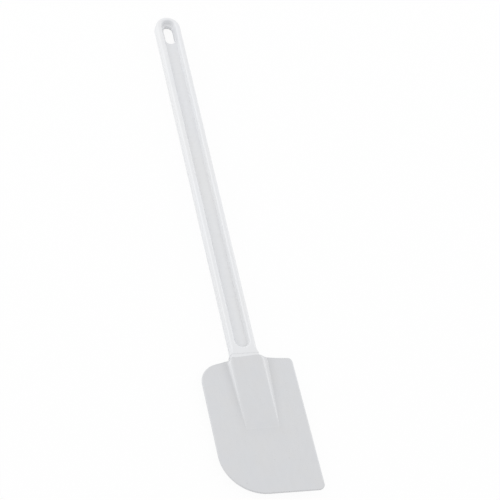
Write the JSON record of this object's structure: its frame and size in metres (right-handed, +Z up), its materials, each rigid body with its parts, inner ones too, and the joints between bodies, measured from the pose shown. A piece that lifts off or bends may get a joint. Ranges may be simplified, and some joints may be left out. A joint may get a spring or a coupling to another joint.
{
  "type": "rubber spatula",
  "caption": "Long rubber spatula: slim channelled plastic handle with a hang slot, and a flexible blade with a round and a square corner.",
  "frame": {"origin": "middle of the footprint, on the surface that the spatula lies on", "axes": "+Y along the handle towards the hang slot, +Z up out of the front face, +X towards the blade's square corner"},
  "size_m": [0.0713, 0.4194, 0.01],
  "materials": {
    "handle_plastic": "white satin moulded plastic",
    "blade_rubber": "pale grey-white matte rubber"
  },
  "bodies": {
    "root": {"handle": "handle_plastic", "blade": "blade_rubber"}
  },
  "joints": []
}
